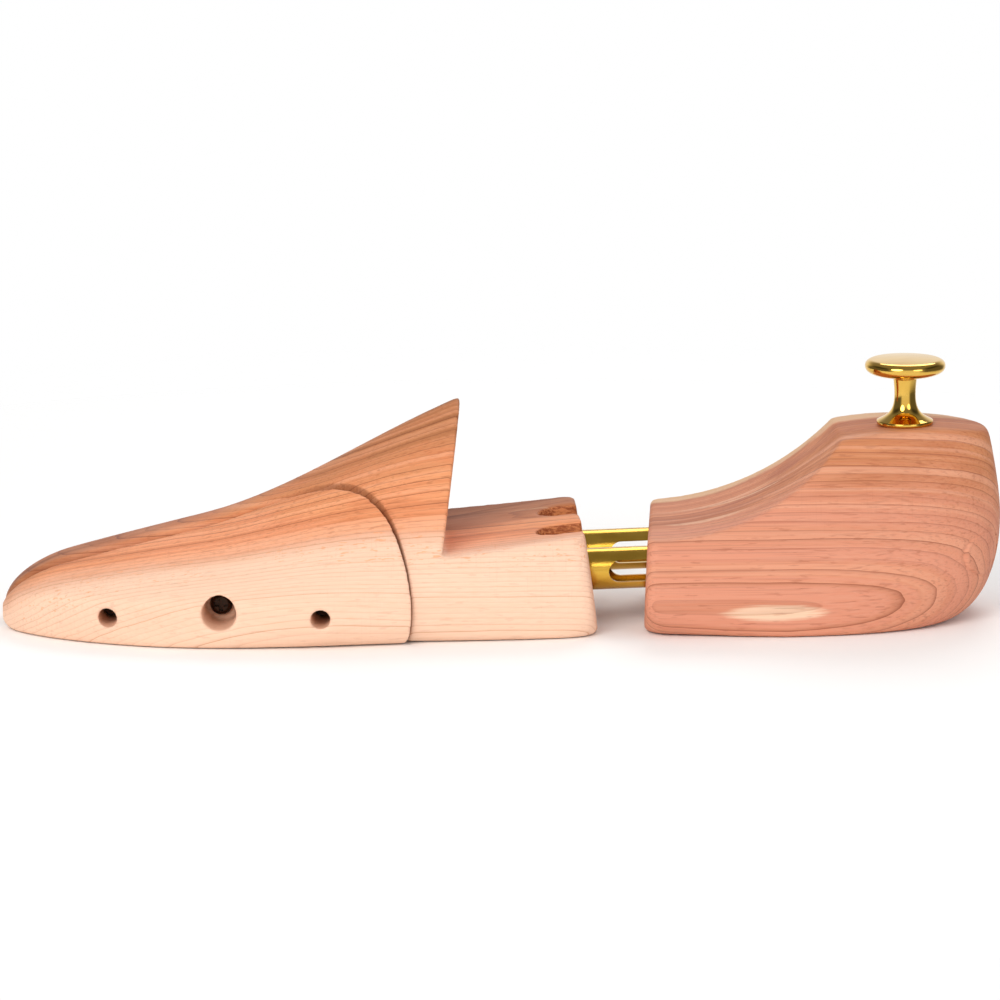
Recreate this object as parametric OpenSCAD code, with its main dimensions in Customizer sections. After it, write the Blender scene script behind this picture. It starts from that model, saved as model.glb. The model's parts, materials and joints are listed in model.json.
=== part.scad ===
// Split-toe shoe stretcher: a carved forepart, a sprung toe wing and a sprung heel on two slotted tubes.
// X runs from the toe to the heel, Y to the far side and Z up. The flat sole lies on z = 0.

/* [Forepart] */
// Toe tip to the foot of the rear face, along the sole
forepart_length = 170.1; // [155:0.1:185]
// Toe tip to the widest place of the far side
far_ball_from_toe = 83.5; // [75:0.5:90]
// Widest place of the far side, out from the toe tip
far_ball_width = 37.6; // [33:0.1:42]
// How much the far side draws in from there to the rear face
far_taper = 8.6; // [5:0.1:12]
// Toe tip to the widest place of the near side
near_ball_from_toe = 92.5; // [85:0.5:100]
// Widest place of the near side, out from the toe tip
near_ball_width = 45.3; // [40:0.1:50]
// How much the near side draws in from there to the rear face
near_taper = 7.4; // [4:0.1:10]
// Toe tip, to the far side of the middle line
tip_y = 5.6; // [2:0.1:9]
// Height of the toe tip, where the nose is blunt
tip_height = 4; // [3:0.1:6]
// Height that the ridge starts from at the toe tip
toe_height = 14; // [11:0.1:17]
// Rise of the ridge for each millimetre behind the toe
toe_slope = 0.25; // [0.2:0.01:0.3]
// Extra rise of the ridge from the vamp to the instep
instep_rise = 17.8; // [12:0.1:22]
// Length of the rounded nose
nose_length = 20; // [14:0.5:26]
// Height of the widest level of the walls
wall_height = 12; // [9:0.1:14]
// Least draw-in of the walls down to the sole
sole_draw = 2; // [1.5:0.1:4]
// Further draw-in under the arch
arch_draw = 5; // [3:0.1:7]

/* [Step] */
// Toe tip to the foot of the step face
step_from_toe = 126.5; // [120:0.5:132]
// Height of the foot of the step
step_foot_height = 23.8; // [22:0.1:26]
// Lean of the step face, back at the top
step_lean = 8.9; // [4:0.1:12]
// Rise of the stub's top toward the heel, in degrees
stub_rise = 6.8; // [3:0.1:8]
// Depth of the saw nick at the foot of the step
nick_depth = 1.5; // [0.8:0.1:3]
// Height of the saw nick
nick_height = 1.2; // [0.6:0.1:2]
// Lean of the stub's rear face, forward at the top
rear_lean = 7; // [3:0.1:10]
// Turn of the stub's rear face in plan, near side back
rear_turn = 1; // [0:0.1:4]
// Gap between a tube and the walls of the notch that lays it bare
notch_gap = 0.5; // [0.3:0.05:1]
// Length of each notch, from the rear face to the middle of its round end
notch_length = 8.8; // [5:0.1:16]

/* [Heel] */
// Front face at the sole to the rearmost point
heel_length = 102.3; // [90:0.1:115]
// Travel of the heel toward the forepart
heel_travel = 12.5; // [8:0.1:13]
// Gap along the sole between the blocks when the heel is pushed in
closed_gap = 2.5; // [2.3:0.1:5]
// Middle line of the heel, to the near side
heel_axis_y = 2.1; // [0:0.1:4]
// Half width of the heel
heel_half_width = 33.2; // [30:0.1:36]
// Height of the platform's front edge
platform_height = 53.7; // [48:0.1:60]
// How much the platform swells up behind its edge
platform_crown = 2.2; // [0.5:0.1:4]
// Front face to the platform's edge
platform_from_front = 55.3; // [50:0.1:62]
// Radius of the scooped top
scoop_radius = 68; // [60:0.5:80]
// Height of the scoop's lowest line
scoop_floor = 27.9; // [26:0.1:32]
// Height of the rearmost point
back_height = 30; // [24:0.5:40]
// Length of the rounded lower back
back_round = 18; // [14:0.5:28]
// How far the back leans in from its rearmost point to the platform
back_lean = 3.4; // [0:0.1:6]
// Radius of the platform's rear rim
platform_rim = 4; // [1:0.1:6]
// How much the far side of the heel's outline tapers to the back
heel_far_taper = 6.2; // [0:0.1:12]
// Lean of the heel's front face, back at the top
front_lean = 2.5; // [0:0.1:6]
// Turn of the heel's front face in plan, far side back
front_turn = 3.9; // [1:0.1:6]

/* [Tubes] */
// Outer diameter of the tubes
tube_diameter = 12; // [10:0.1:12.6]
// Wall of the tubes
tube_wall = 0.95; // [0.6:0.05:1.5]
// Distance between the tubes' axes
tube_spacing = 25.5; // [22:0.1:28]
// Height of the tubes' axes at the stub's rear face
tube_height = 15.9; // [13:0.1:16]
// Middle of the tubes at the stub's rear face, to the far side
tube_offset_y = 0.5; // [-2:0.1:3]
// Rise of the tubes toward the heel, in degrees
tube_rise = 2.3; // [0:0.1:3]
// Turn of the tubes to the near side, in degrees
tube_turn = 3.4; // [0:0.1:5]
// Toe tip to the front ends of the tubes
tube_front_from_toe = 114.1; // [112:0.1:124]
// Width of the slots through the tubes
slot_width = 6.4; // [5:0.1:7.4]
// Rear face to the front end of the slots
slot_start = 5; // [3:0.1:8]
// Solid tube behind the slots
tube_tail = 8; // [5:0.1:12]
// Diameter of the forepart's cross pin
fore_pin_diameter = 5.2; // [4:0.1:6]
// Front end of the tubes to the forepart's cross pin
fore_pin_inset = 6.5; // [5:0.1:10]
// Diameter of the heel's cross pin
heel_pin_diameter = 5.6; // [4:0.1:5.8]
// Heel's front face to its cross pin
heel_pin_inset = 22; // [18:0.1:28]
// Length of each cross pin beyond the near tube
pin_tail = 6; // [3:0.1:8]

/* [Springs] */
// Wire diameter of the tube springs
tube_spring_wire = 1.2; // [0.8:0.1:1.6]
// Room for each tube spring behind its tube
tube_spring_length = 40; // [32:0.5:44]
// Curls of each tube spring
tube_spring_curls = 11; // [6:1:13]
// Outer diameter of the wing spring
wing_spring_diameter = 9.5; // [8:0.1:10]
// Wire diameter of the wing spring
wing_spring_wire = 0.8; // [0.6:0.1:1]
// Curls of the wing spring
wing_spring_curls = 8; // [5:1:9]
// Depth of the wing spring's pocket in the forepart
fore_pocket_depth = 4; // [2:0.1:6]
// Depth of the wing spring's pocket in the wing
wing_pocket_depth = 6; // [3:0.1:8]

/* [Toe split] */
// Toe tip to where the straight saw cut turns into an arc
cut_arc_from_toe = 64.3; // [55:0.5:70]
// Radius of the saw cut's arc
cut_arc_radius = 55; // [48:0.5:60]
// Place of the arc's highest point across the block
cut_y = 2; // [-1:0.1:5]
// How far the straight cut runs to the far side at the toe tip
cut_rise = 1.7; // [0:0.1:4]
// Width of the saw cut
kerf = 0.8; // [0.7:0.05:1.2]
// Angle that the wing stands open at rest
wing_open = 2.6; // [1:0.1:3]
// Wing's turning centre, forward of the stub's rear face
wing_pivot_inset = 5.6; // [2:0.1:12]
// Wing's turning centre, to the near side
wing_pivot_y = 14.8; // [10:0.1:18]
// Diameter of the guide pins
guide_pin_diameter = 4; // [3:0.1:4.4]
// Diameter of the wing's holes round the guide pins
guide_hole_diameter = 5.6; // [5.4:0.1:6.4]
// Lean of the pins toward the toe, in degrees
pin_lean = 5; // [0:0.5:7]
// Toe tip to the front guide pin, at the cut
front_pin_from_toe = 33.7; // [28:0.1:40]
// Toe tip to the tie screw, at the cut
tie_screw_from_toe = 65.9; // [60:0.1:72]
// Toe tip to the rear guide pin, at the cut
rear_pin_from_toe = 93.9; // [88:0.1:98]
// Toe tip to the small locating pin, at the cut
small_pin_from_toe = 107.7; // [104:0.1:110]
// Height of the front guide pin
front_pin_height = 8; // [6:0.1:10]
// Height of the tie screw
tie_screw_height = 10.5; // [8:0.1:12]
// Height of the rear guide pin
rear_pin_height = 9; // [6:0.1:12]
// Depth of each guide pin in the forepart
guide_pin_seat = 18; // [12:0.5:24]
// Length of each guide pin past the cut
guide_pin_reach = 22; // [16:0.5:24]
// Diameter of the small locating pin
small_pin_diameter = 1.4; // [1:0.1:2]
// Diameter of the wing's hole round the small pin
small_hole_diameter = 3; // [2.8:0.1:4]
// Length of the small pin to each side of the cut
small_pin_reach = 8; // [5:0.1:10]

/* [Tie screw] */
// Shank diameter of the tie screw
screw_diameter = 3; // [2.4:0.1:3.4]
// Diameter of the wing's hole round the shank
screw_hole_diameter = 4.6; // [4.4:0.1:5.2]
// Diameter of the screw's head
head_diameter = 6.4; // [5.6:0.1:7]
// Thickness of the screw's head
head_thickness = 2.2; // [1.6:0.1:3]
// Diameter of the counterbore in the wing
counterbore_diameter = 9.8; // [9:0.1:11]
// Cut to the underside of the head at rest
head_from_cut = 27.4; // [24:0.1:32]
// Depth of the screw in the forepart
screw_seat = 18; // [12:0.5:24]

/* [Knob] */
// Heel's front face to the knob's axis
knob_from_front = 74.6; // [68:0.1:84]
// Knob's axis, to the near side
knob_y = 5.7; // [2:0.1:9]
// Diameter of the knob's head
knob_diameter = 23.1; // [18:0.1:28]
// Thickness of the knob's head
knob_head = 5.2; // [4:0.1:8]
// Height of the whole knob
knob_height = 19.2; // [16:0.1:26]
// Diameter of the knob's neck
knob_neck = 6.9; // [6:0.1:9]
// Diameter of the knob's foot
knob_foot = 16.2; // [13:0.1:20]
// Thickness of the foot's rim
knob_foot_rim = 1.3; // [0.6:0.1:2]
// Diameter of the knob's screw
stud_diameter = 4; // [3:0.1:4.4]
// Depth of the screw in the heel
stud_depth = 18; // [12:0.5:22]
// Depth of the screw in the knob
stud_in_knob = 10; // [6:0.5:12]

/* [Clearances] */
// Gap round a piece that is driven into wood or brass
seat_gap = 0.05; // [0.02:0.01:0.1]
// Radial gap between a tube and its running bore
running_gap = 0.1; // [0.05:0.01:0.1]
// Gap where a moving piece rests on its stop
stop_gap = 0.1; // [0.05:0.01:0.3]
// Radial gap between a spring and its pocket
spring_gap = 0.5; // [0.3:0.05:0.6]

/* [Hidden] */
$fn = 96;
pale_wood = [0.86, 0.68, 0.48];
red_wood = [0.80, 0.56, 0.40];
brass = [0.84, 0.68, 0.34];
dark_steel = [0.22, 0.22, 0.24];

// Places along the object
block_gap = heel_travel + closed_gap;
tube_inset = forepart_length - tube_front_from_toe;
total_length = forepart_length + block_gap + heel_length;
toe_x = -total_length / 2;
rear_x = toe_x + forepart_length;
front_x = rear_x + block_gap;
heel_end_x = front_x + heel_length;
beyond = 100;
overshoot = 1;

// Shape of the walls: exponents of the rounded sections and outlines
far_plan_power = 2.05;
near_plan_power = 1.83;
nose_power = 2.3;
toe_section_power = 2;
near_instep_power = 1.35;
far_instep_power = 1.75;
sole_power = 2.2;
instep_start = 58;
instep_length = 88;
arch_from_toe = 100;
arch_length = 62;
ridge_toe_y = 3.4;
ridge_drift = 6.5;
rear_corner = 3;
rear_sole_corner = 10;
tip_round = 4;

// Counts of the lofted surfaces
nose_stations = 12;
body_step = 5;
corner_stations = 4;
arch_points = 19;
cut_arc_points = 36;
sole_points = 6;

function smooth(t) =
    let (u = max(0, min(1, t)))
    u * u * (3 - 2 * u);

// Height of a superellipse of the given power, from 1 at the middle to 0 at the end
function bulge(t, power) = pow(max(0, 1 - pow(max(0, min(1, t)), power)), 1 / power);

// 0 before the corner, growing to 1 at its end along a quarter circle
function corner(s, end, radius) =
    let (t = max(0, min(1, (s - end + radius) / radius)))
    1 - sqrt(1 - t * t);

// Plan of the forepart: s is the distance behind the toe tip
function rear_draw(s) = rear_corner * corner(s, forepart_length, rear_corner);

function far_y(s) = tip_y - rear_draw(s) + (
    s < far_ball_from_toe
    ? far_ball_width * bulge(1 - s / far_ball_from_toe, far_plan_power)
    : far_ball_width
        - far_taper * smooth((s - far_ball_from_toe) / (forepart_length - far_ball_from_toe))
);

function near_y(s) = tip_y + rear_draw(s) - (
    s < near_ball_from_toe
    ? near_ball_width * bulge(1 - s / near_ball_from_toe, near_plan_power)
    : near_ball_width
        - near_taper * pow((s - near_ball_from_toe) / (forepart_length - near_ball_from_toe), near_instep_power)
);

// Side view of the forepart
function nose(s) = bulge(1 - s / nose_length, nose_power);

function ridge_z(s) =
    let (run = min(s, step_from_toe + nose_length / 3))
    tip_height + nose(s) * (
        toe_height + toe_slope * run - tip_height
        + instep_rise * smooth((run - instep_start) / instep_length)
    );

function ridge_y(s) = tip_y + nose(s) * (ridge_toe_y - ridge_drift * smooth((s - instep_start) / (instep_length * 0.85)));

function widest_z(s) = tip_height + (wall_height - tip_height) * nose(s);

function bottom_z(s) = tip_height * (1 - bulge(1 - s / tip_round, 2));

function sole_inset(s) = nose(s) * (
    sole_draw
    + arch_draw * (1 + cos(180 * min(1, abs(s - arch_from_toe) / arch_length))) / 2
    + (rear_sole_corner - rear_corner) * corner(s, forepart_length, rear_sole_corner)
);

// Power of the upper wall's curve, from the toe to the instep
function near_power(s) =
    toe_section_power + (near_instep_power - toe_section_power) * pow(min(1, s / step_from_toe), 0.75);

function far_power(s) =
    toe_section_power + (far_instep_power - toe_section_power) * min(1, s / step_from_toe);

// Distance of the far wall from the middle line at a height above its widest level
function far_wall_y(s, z) =
    ridge_y(s) + (far_y(s) - ridge_y(s))
        * bulge((z - widest_z(s)) / (ridge_z(s) - widest_z(s)), far_power(s));

// One wall of a section, from the sole up to the ridge. side is -1 for the near wall.
function wall(s, side) =
    let (
        width = side < 0 ? ridge_y(s) - near_y(s) : far_y(s) - ridge_y(s),
        power = side < 0 ? near_power(s) : far_power(s),
        low = widest_z(s) - bottom_z(s),
        high = ridge_z(s) - widest_z(s),
        inset = min(sole_inset(s), width * 0.8)
    )
    [
        for (i = [sole_points : -1 : 1])
            let (a = 90 * i / sole_points)
            [
                ridge_y(s) + side * (width - inset * (1 - pow(cos(a), 2 / sole_power))),
                widest_z(s) - low * pow(sin(a), 2 / sole_power),
            ],
        for (i = [0 : arch_points - 1])
            let (a = 90 * i / arch_points)
            [
                ridge_y(s) + side * width * pow(cos(a), 2 / power),
                widest_z(s) + high * pow(sin(a), 2 / power),
            ],
    ];

function reversed(list) = [for (i = [len(list) - 1 : -1 : 0]) list[i]];

function section(s) = concat(wall(s, -1), [[ridge_y(s), ridge_z(s)]], reversed(wall(s, 1)));

// The sections tilt gradually until the last one lies in the leaning rear face
function tilt(s) = smooth((s - step_from_toe) / (forepart_length - step_from_toe));

function placed(s) = [
    for (p = section(s))
        [
            toe_x + s - tilt(s) * (tan(rear_lean) * p[1] + tan(rear_turn) * p[0]),
            p[0],
            p[1],
        ]
];

body_count = ceil((forepart_length - rear_sole_corner - nose_length) / body_step);
stations = concat(
    [for (i = [1 : nose_stations]) nose_length * (1 - cos(90 * i / nose_stations))],
    [for (i = [1 : body_count]) nose_length + (forepart_length - rear_sole_corner - nose_length) * i / body_count],
    [for (i = [1 : corner_stations]) forepart_length - rear_sole_corner * (1 - sin(90 * i / corner_stations))]
);

// Closed skin through rings of points that all have as many points
module loft(rings) {
    n = len(rings[0]);
    last_ring = len(rings) - 1;
    polyhedron(
        points = [for (ring = rings) each ring],
        faces = concat(
            [[for (j = [n - 1 : -1 : 0]) j]],
            [
                for (i = [0 : last_ring - 1], j = [0 : n - 1])
                    let (k = (j + 1) % n)
                    each [
                        [i * n + j, (i + 1) * n + k, (i + 1) * n + j],
                        [i * n + j, i * n + k, (i + 1) * n + k],
                    ]
            ],
            [[for (j = [0 : n - 1]) last_ring * n + j]]
        ),
        convexity = 6
    );
}

module last() {
    loft([for (s = stations) placed(s)]);
}

// Everything above the stub and behind the step face, with the saw nick
module step_cut() {
    foot_x = toe_x + step_from_toe;
    up = [-sin(stub_rise), cos(stub_rise)];
    back = [cos(stub_rise), sin(stub_rise)];
    foot = [foot_x, step_foot_height];
    nick = foot - nick_depth * back;
    top_z = step_foot_height + beyond;
    translate([0, beyond, 0])
        rotate([90, 0, 0])
            linear_extrude(2 * beyond)
                polygon([
                    nick,
                    foot + beyond * back,
                    [foot_x + beyond, top_z + beyond],
                    [foot_x + tan(step_lean) * beyond, top_z],
                    foot + nick_height * up,
                    nick + nick_height * up,
                ]);
}

// Plan of all that lies on the wing's side of the saw cut, drawn back by the given width
module wing_plan(inset) {
    centre = [toe_x + cut_arc_from_toe, cut_y - cut_arc_radius];
    polygon([
        [toe_x - overshoot, cut_y + cut_rise - inset],
        for (i = [0 : cut_arc_points])
            let (a = 90 * i / cut_arc_points)
            centre + (cut_arc_radius - inset) * [sin(a), cos(a)],
        [centre[0] + cut_arc_radius - inset, -beyond],
        [toe_x - overshoot, -beyond],
    ]);
}

module wing_side(inset) {
    translate([0, 0, -overshoot])
        linear_extrude(beyond)
            wing_plan(inset);
}

// Turns its children with the wing, from shut to the given angle
module turn_wing(angle) {
    pivot = [rear_x - wing_pivot_inset, -wing_pivot_y, 0];
    translate(pivot)
        rotate([0, 0, angle])
            translate(-pivot)
                children();
}

// Y of the forepart's side of the cut
function cut_line_y(s) =
    s < cut_arc_from_toe
    ? cut_y + cut_rise * (1 - s / cut_arc_from_toe)
    : cut_y - cut_arc_radius + sqrt(pow(cut_arc_radius, 2) - pow(s - cut_arc_from_toe, 2));

// Puts its children's +Z along a pin, from the cut out through the wing
module at_cut(s, height) {
    translate([toe_x + s, cut_line_y(s), height])
        rotate([90, 0, -pin_lean])
            children();
}

module rod(diameter, from, to) {
    translate([0, 0, from])
        cylinder(d = diameter, h = to - from);
}

// Bore of several diameters on one axis: each runs from its own level to the next
module stepped_bore(diameters, levels) {
    rotate_extrude()
        polygon([
            [0, levels[0]],
            for (i = [0 : len(diameters) - 1])
                each [[diameters[i] / 2, levels[i]], [diameters[i] / 2, levels[i + 1]]],
            [0, levels[len(diameters)]],
        ]);
}

// Puts its children's +X along the tubes, from the stub's rear face
module at_tubes() {
    translate([rear_x, tube_offset_y, tube_height])
        rotate([0, -tube_rise, -tube_turn])
            children();
}

module along_x(diameter, from, to) {
    translate([from, 0, 0])
        rotate([0, 90, 0])
            cylinder(d = diameter, h = to - from);
}

module along_y(diameter, from, to) {
    translate([0, to, 0])
        rotate([90, 0, 0])
            cylinder(d = diameter, h = to - from);
}

heel_pin_x = block_gap + heel_pin_inset;
slot_end = heel_pin_x + heel_pin_diameter / 2 + stop_gap;
tube_end = slot_end + tube_tail;
bore_end = tube_end + tube_spring_length;
bore_diameter = tube_diameter + 2 * running_gap;
seat_diameter = tube_diameter + 2 * seat_gap;
fore_pin_x = fore_pin_inset - tube_inset;
near_pin_end = -tube_spacing / 2 - tube_diameter / 2 - pin_tail;

// Far walls where the cross pins come out, measured across the tubes
fore_pin_s = forepart_length + fore_pin_x;
fore_pin_far = far_wall_y(fore_pin_s, tube_height + fore_pin_x * tan(tube_rise))
    - tube_offset_y + fore_pin_x * tan(tube_turn);
heel_pin_far = heel_half_width - heel_axis_y - tube_offset_y + heel_pin_x * tan(tube_turn);
pin_recess = 0.8;

module tube_bores(diameter, from, to) {
    for (side = [-1, 1])
        translate([0, side * tube_spacing / 2, 0])
            along_x(diameter, from, to);
}

// Notches cut from above down to the tubes' axes
module notches() {
    radius = tube_diameter / 2 + notch_gap;
    for (side = [-1, 1])
        translate([-notch_length, side * tube_spacing / 2, 0]) {
            cylinder(r = radius, h = beyond / 2);
            translate([0, -radius, 0])
                cube([notch_length + block_gap, 2 * radius, beyond / 2]);
        }
}

module forepart_block() {
    color(pale_wood)
        difference() {
            last();
            step_cut();
            wing_side(0);
            at_tubes() {
                tube_bores(seat_diameter, -tube_inset - seat_gap, block_gap);
                notches();
                translate([fore_pin_x, 0, 0])
                    along_y(fore_pin_diameter + 2 * seat_gap, near_pin_end - seat_gap, beyond / 2);
            }
            at_cut(front_pin_from_toe, front_pin_height)
                rod(guide_pin_diameter + 2 * seat_gap, -guide_pin_seat - seat_gap, overshoot);
            at_cut(rear_pin_from_toe, rear_pin_height)
                rod(guide_pin_diameter + 2 * seat_gap, -guide_pin_seat - seat_gap, guide_pin_reach);
            at_cut(small_pin_from_toe, rear_pin_height)
                rod(small_pin_diameter + 2 * seat_gap, -small_pin_reach - seat_gap, small_pin_reach);
            at_cut(tie_screw_from_toe, tie_screw_height)
                stepped_bore(
                    [screw_diameter + 2 * seat_gap, wing_pocket_diameter],
                    [-screw_seat - seat_gap, -fore_pocket_depth, overshoot]
                );
        }
}

wing_pocket_diameter = wing_spring_diameter + 2 * spring_gap;

// The wing's bores line up with the pins when it stands half open
module toe_wing() {
    color(pale_wood)
        turn_wing(wing_open)
            difference() {
                intersection() {
                    last();
                    wing_side(kerf);
                }
                turn_wing(-wing_open / 2) {
                    at_cut(front_pin_from_toe, front_pin_height)
                        rod(guide_hole_diameter, -overshoot, beyond);
                    at_cut(rear_pin_from_toe, rear_pin_height)
                        rod(guide_hole_diameter, -guide_pin_seat, beyond);
                    at_cut(small_pin_from_toe, rear_pin_height)
                        rod(small_hole_diameter, -small_pin_reach, small_pin_reach + 2 * overshoot);
                    at_cut(tie_screw_from_toe, tie_screw_height)
                        stepped_bore(
                            [wing_pocket_diameter, screw_hole_diameter, counterbore_diameter],
                            [-overshoot, wing_pocket_floor, head_from_cut - screw_stroke / 2 - head_gap, beyond]
                        );
                }
            }
}

// Travel of the wing along the tie screw
screw_stroke = wing_open * PI / 180 * (forepart_length - wing_pivot_inset - tie_screw_from_toe);

// The open wing stands at half its angle to these pieces, so their rims need this room
tilt_slope = tan(wing_open / 2);
head_gap = stop_gap + tilt_slope * head_diameter / 2;
wing_pocket_floor = kerf + screw_stroke / 2 + wing_pocket_depth + stop_gap + tilt_slope * wing_spring_diameter / 2;

module slotted_tube(side) {
    bore = tube_diameter - 2 * tube_wall;
    color(brass)
        at_tubes()
            translate([0, side * tube_spacing / 2, 0])
                difference() {
                    along_x(tube_diameter, -tube_inset, tube_end);
                    along_x(bore, -tube_inset - overshoot, tube_end + overshoot);
                    translate([fore_pin_x, 0, 0])
                        along_y(fore_pin_diameter + 2 * seat_gap, -tube_diameter, tube_diameter);
                    for (x = [slot_start + slot_width / 2, slot_end - slot_width / 2])
                        translate([x, 0, 0])
                            along_y(slot_width, -tube_diameter, tube_diameter);
                    translate([slot_start + slot_width / 2, -tube_diameter, -slot_width / 2])
                        cube([slot_end - slot_start - slot_width, 2 * tube_diameter, slot_width]);
                }
}

module near_tube() {
    slotted_tube(-1);
}

module far_tube() {
    slotted_tube(1);
}

module forepart_cross_pin() {
    color(brass)
        at_tubes()
            translate([fore_pin_x, 0, 0])
                along_y(fore_pin_diameter, near_pin_end, fore_pin_far - pin_recess);
}

module guide_pin(s, height) {
    color(dark_steel)
        at_cut(s, height)
            rod(guide_pin_diameter, -guide_pin_seat, guide_pin_reach);
}

module front_guide_pin() {
    guide_pin(front_pin_from_toe, front_pin_height);
}

module rear_guide_pin() {
    guide_pin(rear_pin_from_toe, rear_pin_height);
}

module rear_locating_pin() {
    color(dark_steel)
        at_cut(small_pin_from_toe, rear_pin_height)
            rod(small_pin_diameter, -small_pin_reach, small_pin_reach);
}

// Pan-head screw with a cross recess
module tie_screw() {
    recess_width = head_diameter / 5;
    recess_length = head_diameter * 0.6;
    recess_depth = head_thickness * 0.55;
    color(dark_steel)
        at_cut(tie_screw_from_toe, tie_screw_height)
            difference() {
                union() {
                    rod(screw_diameter, -screw_seat, head_from_cut);
                    translate([0, 0, head_from_cut])
                        rotate_extrude()
                            polygon([
                                [0, 0],
                                [head_diameter / 2, 0],
                                [head_diameter / 2, head_thickness / 2],
                                [head_diameter * 0.44, head_thickness * 0.8],
                                [head_diameter * 0.32, head_thickness],
                                [0, head_thickness],
                            ]);
                }
                for (turn = [0, 90])
                    translate([0, 0, head_from_cut + head_thickness - recess_depth / 2 + overshoot / 2])
                        rotate([0, 0, turn])
                            cube([recess_length, recess_width, recess_depth + overshoot], center = true);
            }
}

// Side view of the heel's back, and its half widths, at each height
heel_wall_height = 11;
heel_crown = 70;
heel_far_power = 1.7;
heel_near_power = 1.55;
heel_plan_far_power = 3.3;
heel_plan_near_power = 2.9;
heel_taper_power = 1.25;
heel_back_power = 2.2;
heel_waist_draw = 7.5;
heel_sole_draw = 0.8;
heel_waist_length = 40;
heel_widest_from_front = 26;
heel_corner = 3;
heel_sole_corner = 8;
heel_side_points = 16;
heel_front_points = 4;
heel_corner_points = 4;

// The platform swells as part of a large circle whose top is near the knob
platform_top = platform_height + platform_crown;
crown_run = 21.5;
crown_x = front_x + platform_from_front + crown_run;
crown_radius = (pow(crown_run, 2) + pow(platform_crown, 2)) / (2 * platform_crown);
knob_seat_z = platform_top - 0.15;

function heel_end(z) =
    heel_end_x - platform_rim * corner(z, platform_top, platform_rim) - (
        z < back_height
        ? back_round * (1 - bulge(1 - z / back_height, heel_back_power))
        : back_lean * pow((z - back_height) / (platform_height - back_height), 1.5)
    );

// Draw-in of the walls below their widest level, more toward the heel's front
function heel_inset(x, z) =
    (heel_sole_draw + heel_waist_draw * (1 - smooth((x - front_x) / heel_waist_length)))
        * (1 - bulge(1 - z / heel_wall_height, sole_power));

function heel_half(x, z, power) =
    z < heel_wall_height
    ? heel_half_width - heel_inset(x, z)
    : heel_half_width * bulge((z - heel_wall_height) / (heel_crown - heel_wall_height), power);

// Front face of the heel: it leans back and its far side is turned back
function heel_front(y, z) = front_x + tan(front_lean) * z + tan(front_turn) * (y + heel_axis_y);

function heel_corner_at(z) = heel_corner + (heel_sole_corner - heel_corner) * (1 - smooth(z / heel_wall_height));

// One side of the heel's outline at a height, from the front face back to the rearmost point
function heel_side(z, side) =
    let (
        power = side < 0 ? heel_near_power : heel_far_power,
        plan = side < 0 ? heel_plan_near_power : heel_plan_far_power,
        taper = side < 0 ? 0 : heel_far_taper / heel_half_width,
        widest_x = front_x + heel_widest_from_front,
        reach = heel_end(z) - widest_x,
        round = heel_corner_at(z),
        front_half = heel_half(front_x, z, power),
        corner_y = -heel_axis_y + side * front_half
    )
    [
        for (i = [0 : heel_corner_points])
            let (a = 90 * i / heel_corner_points, y = corner_y - side * round * (1 - sin(a)))
            [heel_front(y, z) + round * (1 - cos(a)), y, z],
        for (i = [1 : heel_front_points])
            let (
                start = heel_front(corner_y, z) + round,
                x = start + (widest_x - start) * i / heel_front_points
            )
            [x, -heel_axis_y + side * heel_half(x, z, power), z],
        for (i = [1 : heel_side_points])
            let (
                a = 90 * i / heel_side_points,
                t = pow(sin(a), 2 / plan),
                x = widest_x + reach * t,
                half = heel_half(x, z, power) * (1 - taper * pow(t, heel_taper_power))
            )
            [x, -heel_axis_y + side * half * pow(cos(a), 2 / plan), z],
    ];

function heel_ring(z) = concat(
    heel_side(z, 1),
    [for (i = [len(heel_side(z, -1)) - 2 : -1 : 0]) heel_side(z, -1)[i]]
);

heel_low_levels = 10;
heel_level_step = 4;
rim_levels = 4;
heel_high_levels = ceil((platform_top - platform_rim - heel_wall_height) / heel_level_step);
heel_levels = concat(
    [for (i = [0 : heel_low_levels]) heel_wall_height * pow(i / heel_low_levels, 2)],
    [
        for (i = [1 : heel_high_levels])
            heel_wall_height + (platform_top - platform_rim - heel_wall_height) * i / heel_high_levels
    ],
    [for (i = [1 : rim_levels]) platform_top - platform_rim * (1 - sin(90 * i / rim_levels))]
);

// All above the scooped top and the swelling platform
module heel_top_cut() {
    edge_x = front_x + platform_from_front;
    drop = scoop_radius + scoop_floor - platform_height;
    scoop_x = edge_x - sqrt(pow(scoop_radius, 2) - pow(drop, 2));
    translate([scoop_x, 0, scoop_floor + scoop_radius])
        along_y(2 * scoop_radius, -beyond, beyond);
    difference() {
        translate([edge_x, -beyond, platform_height - platform_crown])
            cube([beyond, 2 * beyond, beyond]);
        translate([crown_x, 0, platform_top - crown_radius])
            along_y(2 * crown_radius, -2 * beyond, 2 * beyond);
    }
    translate([front_x + knob_from_front, -knob_y, knob_seat_z])
        cylinder(d = knob_foot + 2 * running_gap, h = beyond);
}

module heel_block() {
    color(red_wood)
        difference() {
            loft([for (z = heel_levels) heel_ring(z)]);
            heel_top_cut();
            at_tubes() {
                tube_bores(bore_diameter, 0, bore_end);
                translate([heel_pin_x, 0, 0])
                    along_y(heel_pin_diameter + 2 * seat_gap, near_pin_end - seat_gap, beyond / 2);
            }
            translate([front_x + knob_from_front, -knob_y, knob_seat_z - stud_depth])
                rod(stud_diameter + 2 * seat_gap, -seat_gap, stud_depth + overshoot);
        }
}

module heel_cross_pin() {
    color(brass)
        at_tubes()
            translate([heel_pin_x, 0, 0])
                along_y(heel_pin_diameter, near_pin_end, heel_pin_far - pin_recess);
}

module at_knob() {
    translate([front_x + knob_from_front, -knob_y, knob_seat_z])
        children();
}

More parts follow.
